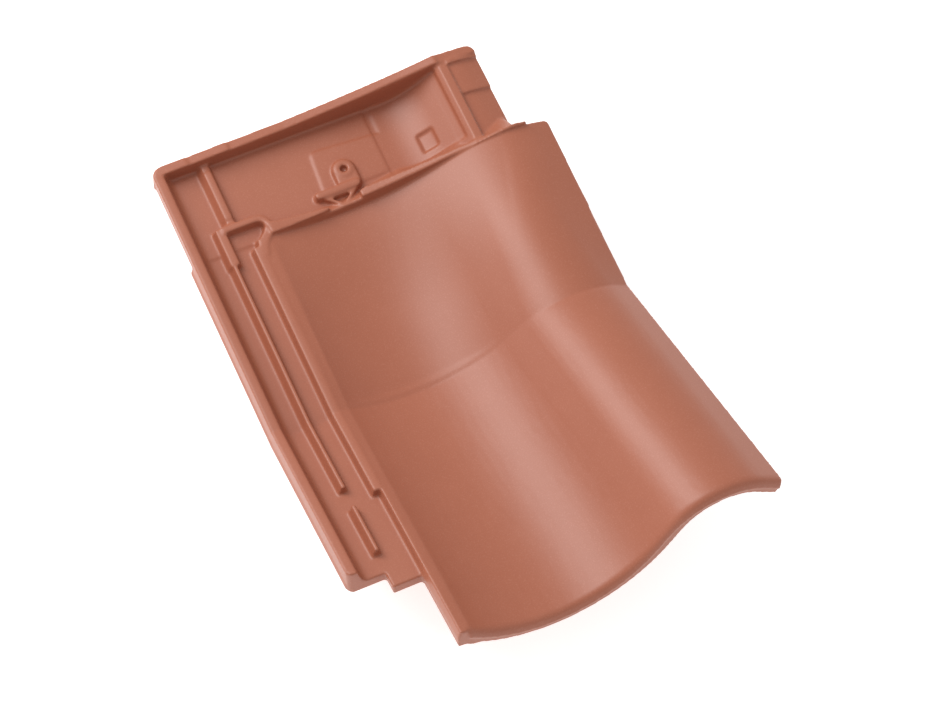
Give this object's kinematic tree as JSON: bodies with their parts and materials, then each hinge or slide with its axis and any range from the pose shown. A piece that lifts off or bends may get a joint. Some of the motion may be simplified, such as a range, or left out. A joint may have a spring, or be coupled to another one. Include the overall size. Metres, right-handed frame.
{
  "type": "clay roof tile",
  "caption": "Interlocking clay pantile with a side-lap tray of water channels, a bent wave-shaped surface, a cover flange, a rimmed head lap and nibs that hook over a roof batten.",
  "frame": {"origin": "middle of the batten face of the left nib, under the head of the tile", "axes": "+Y up the roof from foot to head, +X across from the side-lap to the cover flange, +Z off the roof towards the weather"},
  "size_m": [0.3197, 0.4694, 0.1346],
  "materials": {
    "engobed_clay": "matt"
  },
  "bodies": {
    "root": {"roof_tile": "engobed_clay"}
  },
  "joints": []
}
